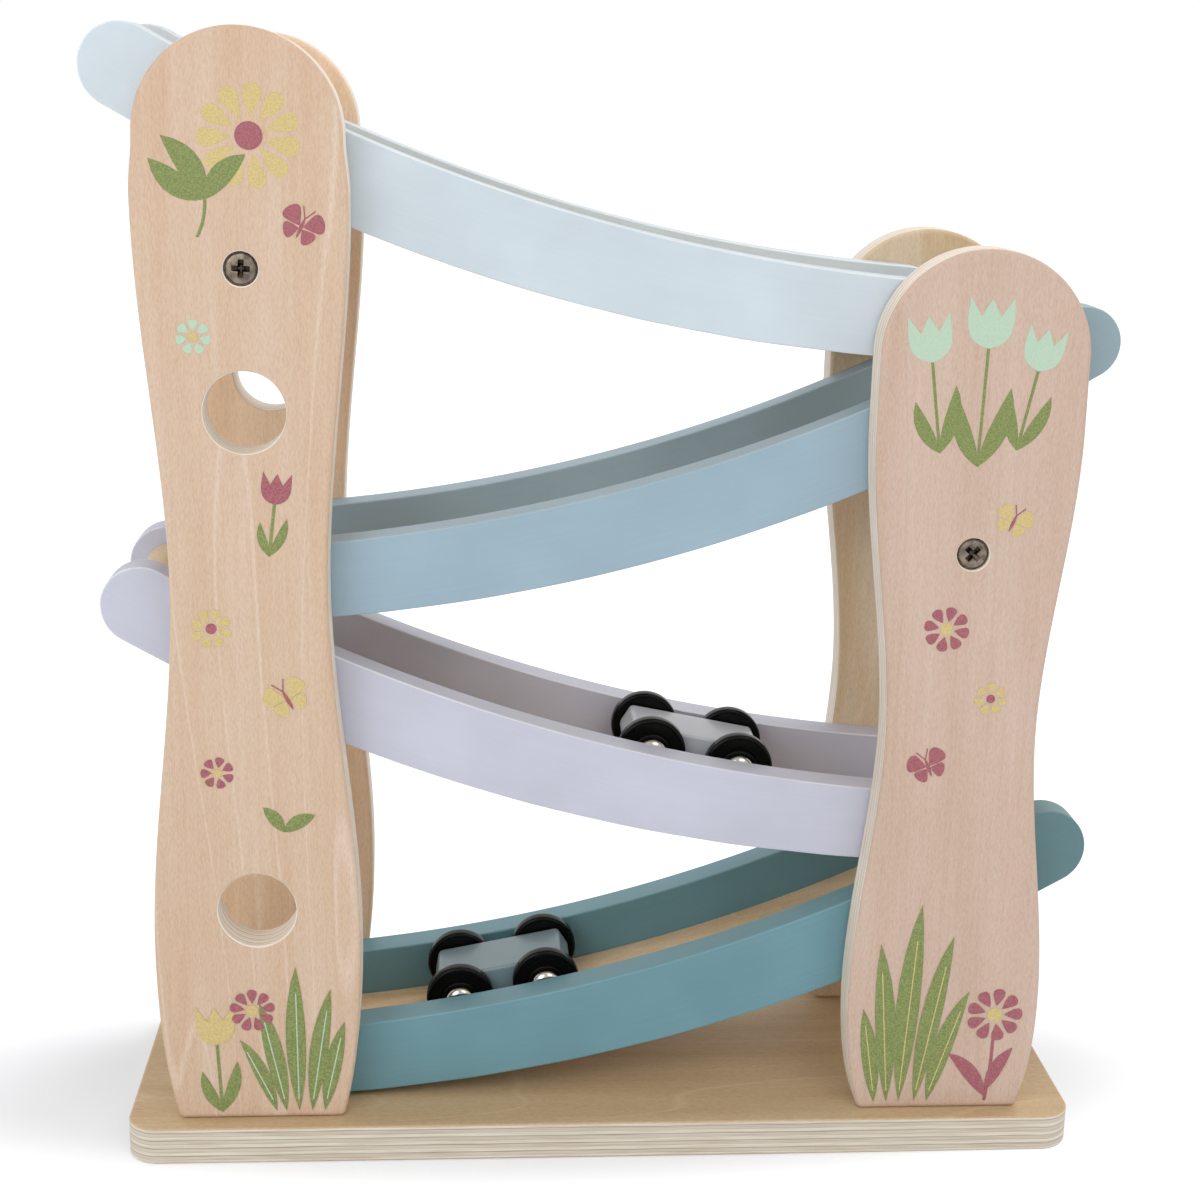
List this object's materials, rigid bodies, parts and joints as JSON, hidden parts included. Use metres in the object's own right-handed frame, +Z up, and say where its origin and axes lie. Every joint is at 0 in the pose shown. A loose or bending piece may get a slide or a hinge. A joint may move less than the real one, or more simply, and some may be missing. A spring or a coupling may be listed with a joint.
{
  "type": "wooden zig-zag ramp racer",
  "caption": "Wooden toy ramp racer: curved grooved tracks zig-zag between wavy posts on a plywood base board, and small cars roll down and turn over from track to track.",
  "frame": {"origin": "middle of the underside of the base board", "axes": "+X along the board, towards the lower pair of posts; +Y to the back; +Z up"},
  "size_m": [0.3057, 0.106, 0.3442],
  "materials": {
    "board_ply": "clear matt lacquer on nine-ply birch plywood",
    "post_ply": "clear matt lacquer on birch plywood, printed on the front",
    "beech": "sanded natural wood",
    "mint_paint": "satin pale mint paint on wood",
    "blue_paint": "satin light blue paint on wood",
    "lilac_paint": "satin lilac grey paint on wood",
    "teal_paint": "satin teal paint on wood",
    "upper_car_paint": "satin lilac grey paint on wood",
    "lower_car_paint": "satin light blue paint on wood",
    "black_plastic": "moulded black plastic",
    "chrome": "polished plated steel",
    "nickel_screw": "dark nickel plated steel"
  },
  "bodies": {
    "frame": {"base_board": "board_ply", "spreader_left": "beech", "post_left_front": "post_ply", "post_screw_left_front": "nickel_screw", "foot_screw_left_front_a": "nickel_screw", "foot_screw_left_front_b": "nickel_screw", "post_left_rear": "post_ply", "post_screw_left_rear": "nickel_screw", "foot_screw_left_rear_a": "nickel_screw", "foot_screw_left_rear_b": "nickel_screw", "spreader_right": "beech", "post_right_front": "post_ply", "post_screw_right_front": "nickel_screw", "foot_screw_right_front_a": "nickel_screw", "foot_screw_right_front_b": "nickel_screw", "post_right_rear": "post_ply", "post_screw_right_rear": "nickel_screw", "foot_screw_right_rear_a": "nickel_screw", "foot_screw_right_rear_b": "nickel_screw", "track1_rail_front": "mint_paint", "track1_rail_rear": "mint_paint", "track1_floor": "beech", "track1_stop_high": "beech", "track2_rail_front": "blue_paint", "track2_rail_rear": "blue_paint", "track2_floor": "beech", "track2_stop_high": "beech", "track3_rail_front": "lilac_paint", "track3_rail_rear": "lilac_paint", "track3_floor": "beech", "track3_stop_high": "beech", "track4_rail_front": "teal_paint", "track4_rail_rear": "teal_paint", "track4_floor": "beech", "track4_stop_high": "beech", "track4_stop_low": "beech"},
    "upper_car": {"upper_car_body": "upper_car_paint", "upper_car_axle_left": "chrome", "upper_car_axle_right": "chrome", "upper_car_cap_left_front": "chrome", "upper_car_cap_left_rear": "chrome", "upper_car_cap_right_front": "chrome", "upper_car_cap_right_rear": "chrome"},
    "upper_wheel_left_front": {"upper_car_wheel_left_front": "black_plastic"},
    "upper_wheel_left_rear": {"upper_car_wheel_left_rear": "black_plastic"},
    "upper_wheel_right_front": {"upper_car_wheel_right_front": "black_plastic"},
    "upper_wheel_right_rear": {"upper_car_wheel_right_rear": "black_plastic"},
    "lower_car": {"lower_car_body": "lower_car_paint", "lower_car_axle_left": "chrome", "lower_car_axle_right": "chrome", "lower_car_cap_left_front": "chrome", "lower_car_cap_left_rear": "chrome", "lower_car_cap_right_front": "chrome", "lower_car_cap_right_rear": "chrome"},
    "lower_wheel_left_front": {"lower_car_wheel_left_front": "black_plastic"},
    "lower_wheel_left_rear": {"lower_car_wheel_left_rear": "black_plastic"},
    "lower_wheel_right_front": {"lower_car_wheel_right_front": "black_plastic"},
    "lower_wheel_right_rear": {"lower_car_wheel_right_rear": "black_plastic"}
  },
  "joints": [
    {"name": "upper_car_roll", "type": "hinge", "parent": "frame", "child": "upper_car", "pos_m": [0.1382, 0, 0.66865], "axis": [0, 1, 0], "range_deg": [-4.2, 15]},
    {"name": "upper_wheel_left_front_spin", "type": "hinge", "parent": "upper_car", "child": "upper_wheel_left_front", "pos_m": [0.01543, 0, 0.12274], "axis": [0, 1, 0], "continuous": true},
    {"name": "upper_wheel_left_rear_spin", "type": "hinge", "parent": "upper_car", "child": "upper_wheel_left_rear", "pos_m": [0.01543, 0, 0.12274], "axis": [0, 1, 0], "continuous": true},
    {"name": "upper_wheel_right_front_spin", "type": "hinge", "parent": "upper_car", "child": "upper_wheel_right_front", "pos_m": [0.04368, 0, 0.11714], "axis": [0, 1, 0], "continuous": true},
    {"name": "upper_wheel_right_rear_spin", "type": "hinge", "parent": "upper_car", "child": "upper_wheel_right_rear", "pos_m": [0.04368, 0, 0.11714], "axis": [0, 1, 0], "continuous": true},
    {"name": "lower_car_roll", "type": "hinge", "parent": "frame", "child": "lower_car", "pos_m": [-0.1402, 0, 0.58879], "axis": [0, 1, 0], "range_deg": [-15.2, 3.6]},
    {"name": "lower_wheel_left_front_spin", "type": "hinge", "parent": "lower_car", "child": "lower_wheel_left_front", "pos_m": [-0.04568, 0, 0.03728], "axis": [0, 1, 0], "continuous": true},
    {"name": "lower_wheel_left_rear_spin", "type": "hinge", "parent": "lower_car", "child": "lower_wheel_left_rear", "pos_m": [-0.04568, 0, 0.03728], "axis": [0, 1, 0], "continuous": true},
    {"name": "lower_wheel_right_front_spin", "type": "hinge", "parent": "lower_car", "child": "lower_wheel_right_front", "pos_m": [-0.01743, 0, 0.04288], "axis": [0, 1, 0], "continuous": true},
    {"name": "lower_wheel_right_rear_spin", "type": "hinge", "parent": "lower_car", "child": "lower_wheel_right_rear", "pos_m": [-0.01743, 0, 0.04288], "axis": [0, 1, 0], "continuous": true}
  ]
}
